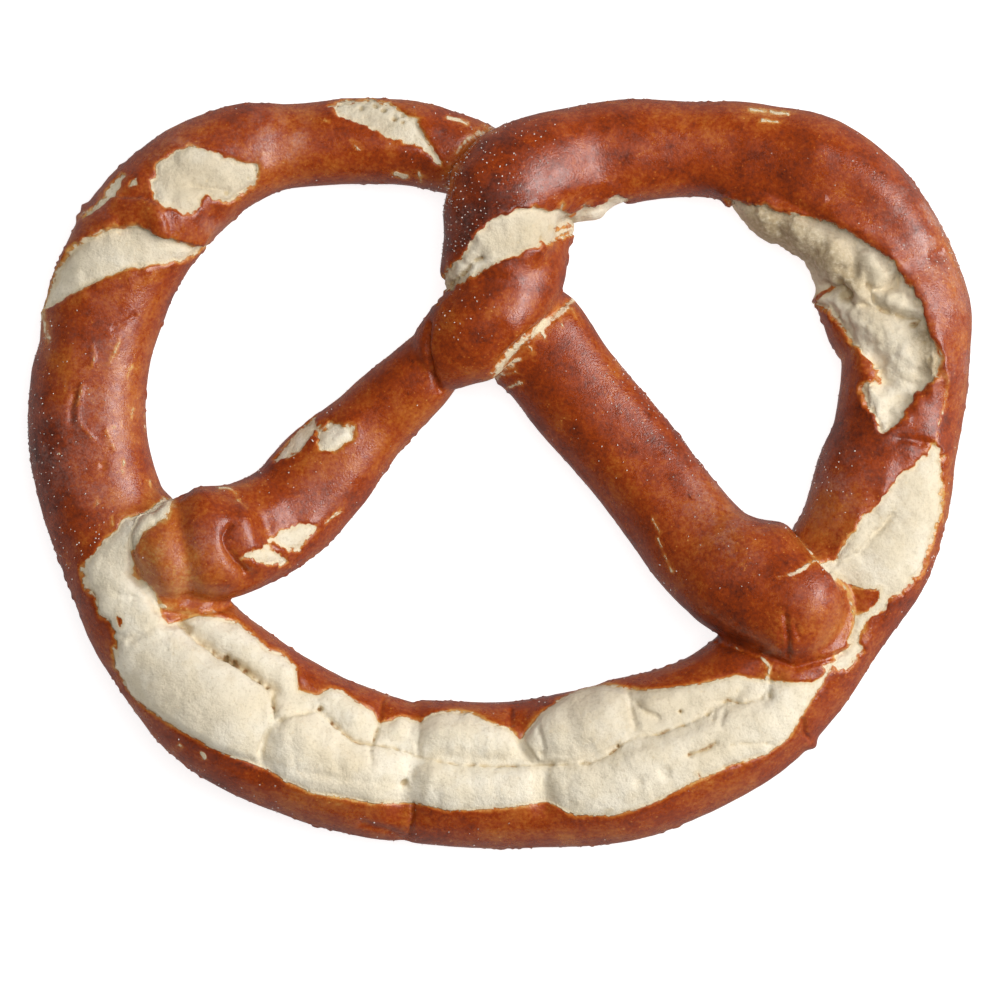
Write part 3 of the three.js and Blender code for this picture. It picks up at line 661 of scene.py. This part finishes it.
    def relief(self):
        """How far each point stands out of the smooth dough, in millimetres."""
        bare = ease(self.opening, -SOFT_EDGE, SOFT_EDGE)
        crust = layered(self.points, CRUST_SWELLS) + layered(self.points, CRUST_GOOSEFLESH)
        relief = (1 - bare) * crust + bare * self.crumb_relief()
        relief += self.blisters() * (1 - bare)
        lip = hill(self.opening + LIP_FROM_EDGE, LIP_REACH) * (1 - bare)
        relief += LIP_RISE * lip - self.groove
        for line, rise, reach in STANDING_EDGES:
            here = near(self.xy, line, reach * EDGE_SPAN)
            gap, side = distance_to_line(self.xy[here], line)
            standing = rise * hill(gap, reach) * (side > 0) * (1 - bare[here])
            relief[here] += standing * self.on_top[here]
        for line, reach, rise in FOLDS:
            here = near(self.xy, line, reach * FOLD_SPAN)
            gap = distance_to_line(self.xy[here], line)[0]
            relief[here] += rise * hill(gap, reach) * self.on_top[here]
        for outline, rise, edge in RAISED_CRUMB:
            here = near(self.xy, outline, NARROW_MARGIN)
            inside = depth_inside(self.xy[here], outline)
            relief[here] += rise * ease(inside, -0.3, edge) * ease(self.opening[here], 0, 2)
        relief += self.spots(SWELLINGS) * self.on_top + self.spots(BULGES)
        return relief * (1 - ease(self.points[:, 2], *UNDERSIDE))


# ---------------------------------------------------------------- the dough

VOXEL = 0.42 * MM
SAME_PLACE = 0.001 * MM
SMOOTH_STEPS, SMOOTH_SHARE = 28, 0.5
FACE_BUDGET = 196000

# Plain crust is this far from a tear and has next to no crease or pale band.
PLAIN = "plain crust"
PLAIN_FROM_TEAR = 1.2
HARDLY_ANY = 0.1
THIN_PLAIN_MORE = 0.6


def put_in_scene(name, mesh):
    piece = bpy.data.objects.new(name, mesh)
    bpy.context.scene.collection.objects.link(piece)
    return piece


def apply_modifiers(piece):
    depsgraph = bpy.context.evaluated_depsgraph_get()
    old = piece.data
    piece.data = bpy.data.meshes.new_from_object(piece.evaluated_get(depsgraph))
    piece.data.name = piece.name
    piece.modifiers.clear()
    bpy.data.meshes.remove(old)


def proved_dough():
    """A finely and evenly faced copy of the pretzel, its ridges between faces smoothed out."""
    dough = put_in_scene("baked_pretzel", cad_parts["pretzel"].data.copy())
    dough.data.materials.clear()
    shell = bmesh.new()
    shell.from_mesh(dough.data)
    bmesh.ops.remove_doubles(shell, verts=shell.verts, dist=SAME_PLACE)
    shell.to_mesh(dough.data)
    shell.free()
    remesh = dough.modifiers.new("even faces", "REMESH")
    remesh.mode = "VOXEL"
    remesh.voxel_size = VOXEL
    smooth = dough.modifiers.new("smooth", "SMOOTH")
    smooth.factor = SMOOTH_SHARE
    smooth.iterations = SMOOTH_STEPS
    apply_modifiers(dough)
    return dough


def read_vectors(items, name):
    values = np.empty(len(items) * 3)
    items.foreach_get(name, values)
    return values.reshape(-1, 3)


def mark(mesh, name, values):
    attribute = mesh.attributes.new(name, "FLOAT", "POINT")
    attribute.data.foreach_set("value", values.astype(np.float32))


def tear_and_crease(dough):
    """Raises the skin into pillows, cracks and creases, and marks what each point is."""
    mesh = dough.data
    points = read_vectors(mesh.vertices, "co")
    normals = read_vectors(mesh.vertex_normals, "vector")
    skin = Skin(points / MM, normals)
    moved = points + normals * (skin.relief() * MM)[:, None]
    moved[:, 2] = np.maximum(moved[:, 2], cad_box[0][2])
    mesh.vertices.foreach_set("co", moved.ravel())
    mark(mesh, "crumb", skin.crumb)
    # How dark the painted shade in the cracks and holes is.
    mark(mesh, "crack", skin.crack)
    mark(mesh, "pale", skin.pale)
    # The browning spots, some of them painted shade and painted light.
    mark(mesh, "baked", skin.spots(BROWNING_SHADE_AND_LIGHT))
    # Painted shade on the crumb.
    mark(mesh, "crumb_shade", np.clip(skin.spots(CRUMB_SHADE_SPOTS), 0, 1))
    # Flour dust and painted sheen.
    mark(mesh, "dust_and_sheen", np.clip(skin.spots(DUST_AND_SHEEN), 0, 1))
    mesh.update()
    plain = (skin.pale < HARDLY_ANY) & (skin.groove < HARDLY_ANY)
    plain &= skin.crumb < -PLAIN_FROM_TEAR
    dough.vertex_groups.new(name=PLAIN).add(np.flatnonzero(plain).tolist(), 1, "REPLACE")


def thin_out(dough):
    """Merges the faces that the plain crust doesn't need."""
    thinner = dough.modifiers.new("fewer faces", "DECIMATE")
    thinner.vertex_group = PLAIN
    thinner.vertex_group_factor = THIN_PLAIN_MORE
    faces = sum(len(face.vertices) - 2 for face in dough.data.polygons)
    thinner.ratio = FACE_BUDGET / faces
    apply_modifiers(dough)
    dough.data.polygons.foreach_set("use_smooth", [True] * len(dough.data.polygons))


# ---------------------------------------------------------------- finishes


class Finish:
    """A material built up from nodes that read the piece's own millimetres."""

    def __init__(self, name):
        self.material = bpy.data.materials.new(name)
        self.material.use_nodes = True
        self.tree = self.material.node_tree
        self.shader = self.tree.nodes["Principled BSDF"]
        place = self.tree.nodes.new("ShaderNodeTexCoord")
        scale = self.tree.nodes.new("ShaderNodeMapping")
        scale.inputs["Scale"].default_value = (1 / MM, 1 / MM, 1 / MM)
        self.tree.links.new(place.outputs["Object"], scale.inputs["Vector"])
        self.millimetres = scale.outputs["Vector"]

    def feed(self, socket, value):
        if isinstance(value, bpy.types.NodeSocket):
            self.tree.links.new(value, socket)
        else:
            socket.default_value = value

    def surface(self, **values):
        """Sets the shader's own sockets: base_color feeds Base Color, and so on."""
        for name, value in values.items():
            socket = name.replace("_", " ").title().replace("Ior", "IOR")
            self.feed(self.shader.inputs[socket], value)

    def attribute(self, name):
        node = self.tree.nodes.new("ShaderNodeAttribute")
        node.attribute_name = name
        return node.outputs["Fac"]

    def noise(self, size, detail=3, rough=0.55, turn=0.0, stretch=None):
        """Uneven spots of a size in millimetres, from 0 to 1 and mostly near 0.5."""
        node = self.tree.nodes.new("ShaderNodeTexNoise")
        node.inputs["Scale"].default_value = 1 / size
        node.inputs["Detail"].default_value = detail
        node.inputs["Roughness"].default_value = rough
        place = self.millimetres
        if stretch:
            for name, given in (("Rotation", (0, 0, turn)), ("Scale", stretch)):
                mapping = self.tree.nodes.new("ShaderNodeMapping")
                mapping.inputs[name].default_value = given
                self.feed(mapping.inputs["Vector"], place)
                place = mapping.outputs["Vector"]
        self.feed(node.inputs["Vector"], place)
        return node.outputs["Fac"]

    def cells(self, size):
        node = self.tree.nodes.new("ShaderNodeTexVoronoi")
        node.inputs["Scale"].default_value = 1 / size
        self.feed(node.inputs["Vector"], self.millimetres)
        return node

    def pimples(self, size):
        """The distance to the middle of each small cell."""
        return self.cells(size).outputs["Distance"]

    def chips(self, size):
        """One chance value for each small angular cell."""
        split = self.tree.nodes.new("ShaderNodeSeparateColor")
        self.feed(split.inputs["Color"], self.cells(size).outputs["Color"])
        return split.outputs["Red"]

    def combine(self, how, first, second):
        node = self.tree.nodes.new("ShaderNodeMath")
        node.operation = how
        self.feed(node.inputs[0], first)
        self.feed(node.inputs[1], second)
        return node.outputs[0]

    def plus(self, first, second):
        return self.combine("ADD", first, second)

    def minus(self, first, second):
        return self.combine("SUBTRACT", first, second)

    def times(self, first, second):
        return self.combine("MULTIPLY", first, second)

    def between(self, value, low, high, start=0.0, end=1.0, smooth=True):
        """Turns low..high into start..end, held at both ends."""
        node = self.tree.nodes.new("ShaderNodeMapRange")
        node.interpolation_type = "SMOOTHSTEP" if smooth else "LINEAR"
        for name, given in (("Value", value), ("From Min", low), ("From Max", high),
                            ("To Min", start), ("To Max", end)):
            self.feed(node.inputs[name], given)
        return node.outputs["Result"]

    def evenly(self, value, low, high, start, end):
        return self.between(value, low, high, start, end, smooth=False)

    def blend(self, share, first, second):
        node = self.tree.nodes.new("ShaderNodeMix")
        node.data_type = "RGBA"
        self.feed(node.inputs[0], share)
        self.feed(node.inputs[6], first)
        self.feed(node.inputs[7], second)
        return node.outputs[2]

    def ramp(self, value, stops):
        node = self.tree.nodes.new("ShaderNodeValToRGB")
        elements = node.color_ramp.elements
        while len(elements) < len(stops):
            elements.new(1)
        for element, (place, colour) in zip(elements, stops):
            element.position = place
            element.color = colour
        self.feed(node.inputs["Fac"], value)
        return node.outputs["Color"]

    def bump(self, height, distance):
        node = self.tree.nodes.new("ShaderNodeBump")
        node.inputs["Strength"].default_value = 1
        node.inputs["Distance"].default_value = distance * MM
        self.feed(node.inputs["Height"], height)
        return node.outputs["Normal"]


# Colours from the palest to the darkest crust, and of the crumb, as light the surface gives back.
GILDED = (0.64, 0.35, 0.10, 1)
AMBER = (0.47, 0.125, 0.018, 1)
CHESTNUT = (0.31, 0.043, 0.0045, 1)
MAHOGANY = (0.13, 0.020, 0.0065, 1)
SINGED = (0.035, 0.009, 0.005, 1)
CREAM = (0.79, 0.695, 0.52, 1)
IVORY = (0.86, 0.785, 0.635, 1)
BUTTER = (0.68, 0.51, 0.26, 1)
# DEEP_CRUMB and HOLLOW_CRUMB are painted shade, for the cracks and the holes and pits.
DEEP_CRUMB = (0.50, 0.38, 0.20, 1)
TOASTED_CRUMB = (0.33, 0.16, 0.06, 1)
HOLLOW_CRUMB = (0.22, 0.14, 0.06, 1)
# Colour of the painted shade on the crumb.
SHADED_CRUMB = (0.425, 0.33, 0.2, 1)
# Pale pink-grey of flour dust and of a painted sheen.
FLOUR_AND_SHEEN = (0.62, 0.46, 0.41, 1)
BROWN_SALT = (0.46, 0.34, 0.28, 1)
WHITE_SALT = (0.86, 0.82, 0.78, 1)
WHITE = (1, 1, 1, 1)

# How brown the crust is: 0 is gilded and 1 is singed.
CRUST_COLOURS = [(0.0, GILDED), (0.28, AMBER), (0.52, CHESTNUT), (0.78, MAHOGANY), (1.0, SINGED)]
USUAL_BROWN = 0.55
BROWN_PER_SPOT = 0.22
PALER_BY_TEAR = 0.3
PALER_WHERE_STRETCHED = 0.5

# Uneven browning: size, detail and roughness of the spots, how far they pale and darken.
MOTTLE = [(16, 2, 0.55, -0.13, 0.13), (3.4, 5, 0.62, -0.15, 0.09), (0.7, 4, 0.65, -0.16, 0.11)]

# Crust is glossy in patches, and crumb is dull.
GLOSSY_CRUST, DULL_CRUST, CRUMB_ROUGHNESS = 0.2, 0.43, 0.92
CRUST_GLOSS = 0.64
WRINKLE_HEIGHT, PORE_HEIGHT, BUMP_DEPTH = 0.13, 0.55, 0.52


def crust_colour(finish, crumb_depth, pale):
    # Browner or paler where the spots say so, painted shade and painted light among them.
    browned = finish.plus(finish.times(finish.attribute("baked"), BROWN_PER_SPOT), USUAL_BROWN)
    for size, detail, rough, paler, darker in MOTTLE:
        spots = finish.noise(size, detail, rough)
        browned = finish.plus(browned, finish.evenly(spots, 0.3, 0.7, paler, darker))
    flecks = finish.between(finish.pimples(1.1), 0.08, 0.2, -0.3, 0)
    flecks = finish.times(flecks, finish.between(finish.noise(3, 2), 0.47, 0.6))
    browned = finish.plus(browned, flecks)
    rim_reach = finish.evenly(finish.noise(7, 2), 0.42, 0.64, -0.3, -1.2)
    near_tear = finish.between(crumb_depth, rim_reach, -0.05, 0, PALER_BY_TEAR)
    browned = finish.minus(browned, near_tear)
    browned = finish.minus(browned, finish.times(pale, PALER_WHERE_STRETCHED))
    crust = finish.ramp(browned, CRUST_COLOURS)

    # Flour dust and a painted sheen, in patches, where the spots say so.
    flour_and_sheen_share = finish.evenly(finish.noise(0.45, 4, 0.65), 0.35, 0.65, 0.02, 0.34)
    patches = finish.between(finish.noise(4.5, 4, 0.6), 0.44, 0.56, 0.3, 1.4)
    flour_and_sheen_share = finish.times(finish.times(flour_and_sheen_share, patches), finish.attribute("dust_and_sheen"))
    return finish.blend(flour_and_sheen_share, crust, FLOUR_AND_SHEEN)


def crumb_colour(finish, crumb_depth, crack):
    """Cream, whiter where it swelled most, yellow by the crust, toasted in the cracks, and
    darkened by painted shade in the cracks, holes and pits and in the shaded spots.
    """
    crumb_shade = finish.attribute("crumb_shade")
    grainy = finish.noise(0.9, 4, 0.7)
    cracked = finish.times(finish.between(crack, 0.3, 0.8),
                           finish.between(finish.noise(1.4, 3), 0.47, 0.62))
    layers = [
        (finish.between(crumb_depth, 1.0, 0.0, 0, 0.4), BUTTER),
        # Painted shade where the spots say so, with darker pits and paler husks in it.
        (crumb_shade, SHADED_CRUMB),
        (finish.times(finish.between(grainy, 0.5, 0.36, 0, 0.4), crumb_shade), HOLLOW_CRUMB),
        (finish.times(finish.between(grainy, 0.5, 0.66, 0, 0.5), crumb_shade), CREAM),
        (finish.between(finish.noise(10, 4, 0.6), 0.47, 0.66, 0, 0.22), BUTTER),
        (finish.between(finish.noise(1.1, 4, 0.65), 0.58, 0.74, 0, 0.3), BUTTER),
        (finish.between(finish.noise(0.6, 3, 0.6), 0.5, 0.72, 0, 0.3), SHADED_CRUMB),
        # Painted shade in the cracks and holes, with toasted crumb in some cracks.
        (finish.between(crack, 0.05, 0.6, 0, 0.7), DEEP_CRUMB),
        (cracked, TOASTED_CRUMB),
        (finish.between(crack, 0.6, 0.95), HOLLOW_CRUMB),
    ]
    crumb = finish.blend(finish.between(finish.noise(5, 3), 0.35, 0.65), CREAM, IVORY)
    for share, colour in layers:
        crumb = finish.blend(share, crumb, colour)
    return crumb


def crumb_share(finish, crumb_depth, pale):
    """1 on crumb and on crust that is stretched to threads, 0 on the rest, frayed between."""
    fray = finish.evenly(finish.chips(0.9), 0, 1, -0.15, 0.15)
    inside = finish.between(finish.plus(crumb_depth, fray), -0.1, 0.1)
    threads = finish.noise(0.8, 2, 0.5, turn=-0.8, stretch=(1, 0.22, 1))
    threads = finish.evenly(threads, 0.3, 0.7, -0.22, 0.22)
    stretched = finish.between(finish.plus(pale, threads), 0.52, 0.85)
    return finish.combine("MAXIMUM", inside, stretched)


def skin_finish():
    finish = Finish("pretzel_crust_and_crumb")
    crumb_depth = finish.attribute("crumb")
    pale = finish.attribute("pale")
    crust = crust_colour(finish, crumb_depth, pale)
    crumb = crumb_colour(finish, crumb_depth, finish.attribute("crack"))
    is_crumb = crumb_share(finish, crumb_depth, pale)
    dull = finish.evenly(finish.noise(2.6, 4, 0.6), 0.34, 0.66, GLOSSY_CRUST, DULL_CRUST)
    wrinkles = finish.plus(finish.noise(1.3, 5, 0.62), finish.noise(0.35, 2))
    pores = finish.plus(finish.noise(1.5, 6, 0.65), finish.times(finish.noise(0.5, 3), 0.4))
    height = finish.evenly(is_crumb, 0, 1, finish.times(wrinkles, WRINKLE_HEIGHT),
                           finish.times(pores, PORE_HEIGHT))
    finish.surface(base_color=finish.blend(is_crumb, crust, crumb),
                   roughness=finish.evenly(is_crumb, 0, 1, dull, CRUMB_ROUGHNESS),
                   specular_ior_level=CRUST_GLOSS, normal=finish.bump(height, BUMP_DEPTH))
    return finish.material


def flour_finish():
    finish = Finish("flour_and_salt")
    shade = finish.ramp(finish.noise(0.6, 2), [(0.35, BROWN_SALT), (0.65, WHITE_SALT)])
    finish.surface(base_color=shade, roughness=0.55)
    return finish.material


def glowing_sheet_finish(name, dark, light, glow, **more):
    finish = Finish(name)
    stops = [(0.3, (dark, dark, dark, 1)), (0.7, (light, light, light, 1))]
    finish.surface(base_color=finish.ramp(finish.noise(140, 3), stops), emission_color=WHITE,
                   emission_strength=glow, **more)
    return finish.material


# ---------------------------------------------------------------- grains on the crust

# Where fine grains of salt and flour cling: x, y, reach in millimetres, and how many.
GRAIN_PATCHES = [
    (-7, 48, 6, 430), (2, 57, 7, 150), (-88, 5, 7, 160), (84, 42, 6, 90), (62, -1, 5, 50),
    (-7, 30, 5, 70), (24, 18, 6, 110), (34, 6, 5, 60), (-83, 22, 7, 60), (-76, -14, 6, 60),
    (0, 62, 9, 70), (-60, -62, 14, 60), (-40, 3, 10, 60), (30, 8, 12, 60), (40, -14, 8, 50),
    (85, -10, 12, 60), (0, -68, 25, 60), (70, 55, 16, 40), (60, 0, 12, 40), (-30, 68, 18, 20),
    (0, 0, 95, 30),
]
GRAIN_SIZES = (0.04, 0.12)
GRAIN_STANDS_OUT = 0.35
GRAIN_CORNERS = (0.7, 1.1)
GRAIN_FROM_TEAR = 1.0
GRAIN_OVER_TRAY = 2.5


def bare_crust_area(mesh, points):
    """How much crust belongs to each point: none on crumb or close to the tray."""
    crumb = np.empty(len(points), np.float32)
    mesh.attributes["crumb"].data.foreach_get("value", crumb)
    corners, areas = np.empty(len(mesh.loops), int), np.empty(len(mesh.polygons))
    mesh.loops.foreach_get("vertex_index", corners)
    mesh.polygons.foreach_get("area", areas)
    shares = np.repeat(areas, [face.loop_total for face in mesh.polygons])
    crust = (crumb < -GRAIN_FROM_TEAR) & (points[:, 2] > GRAIN_OVER_TRAY)
    return np.bincount(corners, shares, len(points)) * crust


def grains_on(dough):
    """Fine angular grains half sunk in the crust, joined into one piece."""
    chance = np.random.default_rng(SEED + 1)
    points = read_vectors(dough.data.vertices, "co") / MM
    normals = read_vectors(dough.data.vertex_normals, "vector")
    bare_crust = bare_crust_area(dough.data, points)
    grains = bmesh.new()
    for x, y, reach, count in GRAIN_PATCHES:
        weight = hill(np.hypot(points[:, 0] - x, points[:, 1] - y), reach) * bare_crust
        for spot in chance.choice(len(points), count, p=weight / weight.sum()):
            size = chance.uniform(*GRAIN_SIZES)
            turn = Vector(chance.normal(size=3)).to_track_quat("Z", "Y").to_matrix().to_4x4()
            centre = Vector((points[spot] + normals[spot] * size * GRAIN_STANDS_OUT) * MM)
            place = Matrix.Translation(centre) @ turn
            made = bmesh.ops.create_cube(grains, size=size * 2 * MM, matrix=place)["verts"]
            for corner in made:
                corner.co = centre.lerp(corner.co, chance.uniform(*GRAIN_CORNERS))
    bmesh.ops.recalc_face_normals(grains, faces=grains.faces)
    piece = put_in_scene("clinging_grains", bpy.data.meshes.new("clinging_grains"))
    grains.to_mesh(piece.data)
    grains.free()
    return piece


dough = proved_dough()
tear_and_crease(dough)
thin_out(dough)
dough.data.materials.append(skin_finish())
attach(dough, "root")
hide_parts("pretzel")

grains = grains_on(dough)
grains.data.materials.append(flour_finish())
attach(grains, "root")


# ---------------------------------------------------------------- floor, light and camera

HALF_SHEET = 3
FLOOR_DROP = 0.3 * MM
CARD_DROP = 30 * MM
LIT_PLACE = Vector((0, 0, 0.01))
WORLD_GLOW = 0.05


def stage_sheet(name, drop, material):
    slab = bmesh.new()
    bmesh.ops.create_grid(slab, x_segments=1, y_segments=1, size=HALF_SHEET)
    bmesh.ops.translate(slab, vec=(0, 0, cad_box[0][2] - drop), verts=slab.verts)
    sheet = put_in_scene(name, bpy.data.meshes.new(name))
    slab.to_mesh(sheet.data)
    slab.free()
    sheet.data.materials.append(material)
    return sheet


def soft_light(name, place, width, height, watts):
    lamp = bpy.data.lights.new(name, "AREA")
    lamp.shape = "ELLIPSE"
    lamp.size, lamp.size_y = width, height
    lamp.energy = watts
    light = put_in_scene(name, lamp)
    light.location = place
    light.rotation_euler = (LIT_PLACE - Vector(place)).to_track_quat("-Z", "Y").to_euler()
    return light


# The crust mirrors a dimmer sheet under the floor instead of the bright floor itself, and
# mirrors the key light alone.
floor = glowing_sheet_finish("pale_floor", dark=0.49, light=0.51, glow=0.82,
                             roughness=0.9, specular_ior_level=0.1)
card = glowing_sheet_finish("dim_card", dark=0.1, light=0.11, glow=0.14)
stage_sheet("floor", FLOOR_DROP, floor).visible_glossy = False
stage_sheet("dim_card", CARD_DROP, card)
soft_light("key light", (1.17, 0.18, 1.0), width=1.4, height=0.95, watts=22.5)
soft_light("top light", (0.1, 0.2, 1.6), width=1, height=1, watts=14).visible_glossy = False

world = bpy.data.worlds.new("white studio")
bpy.context.scene.world = world
world.use_nodes = True
world.node_tree.nodes["Background"].inputs["Color"].default_value = WHITE
world.node_tree.nodes["Background"].inputs["Strength"].default_value = WORLD_GLOW

VIEW_WIDTH = 190 * MM
VIEW_HEIGHT = 2.5
VIEW_CENTRE = (0.1 * MM, -5.1 * MM)
OBJECT_MIDDLE = 12 * MM
SENSOR = 36

lens = bpy.data.cameras.new("camera")
lens.sensor_width = SENSOR
lens.lens = SENSOR * (VIEW_HEIGHT - OBJECT_MIDDLE) / VIEW_WIDTH
camera = put_in_scene("camera", lens)
camera.location = (*VIEW_CENTRE, VIEW_HEIGHT)
bpy.context.scene.camera = camera
bpy.context.scene.view_settings.view_transform = "Standard"
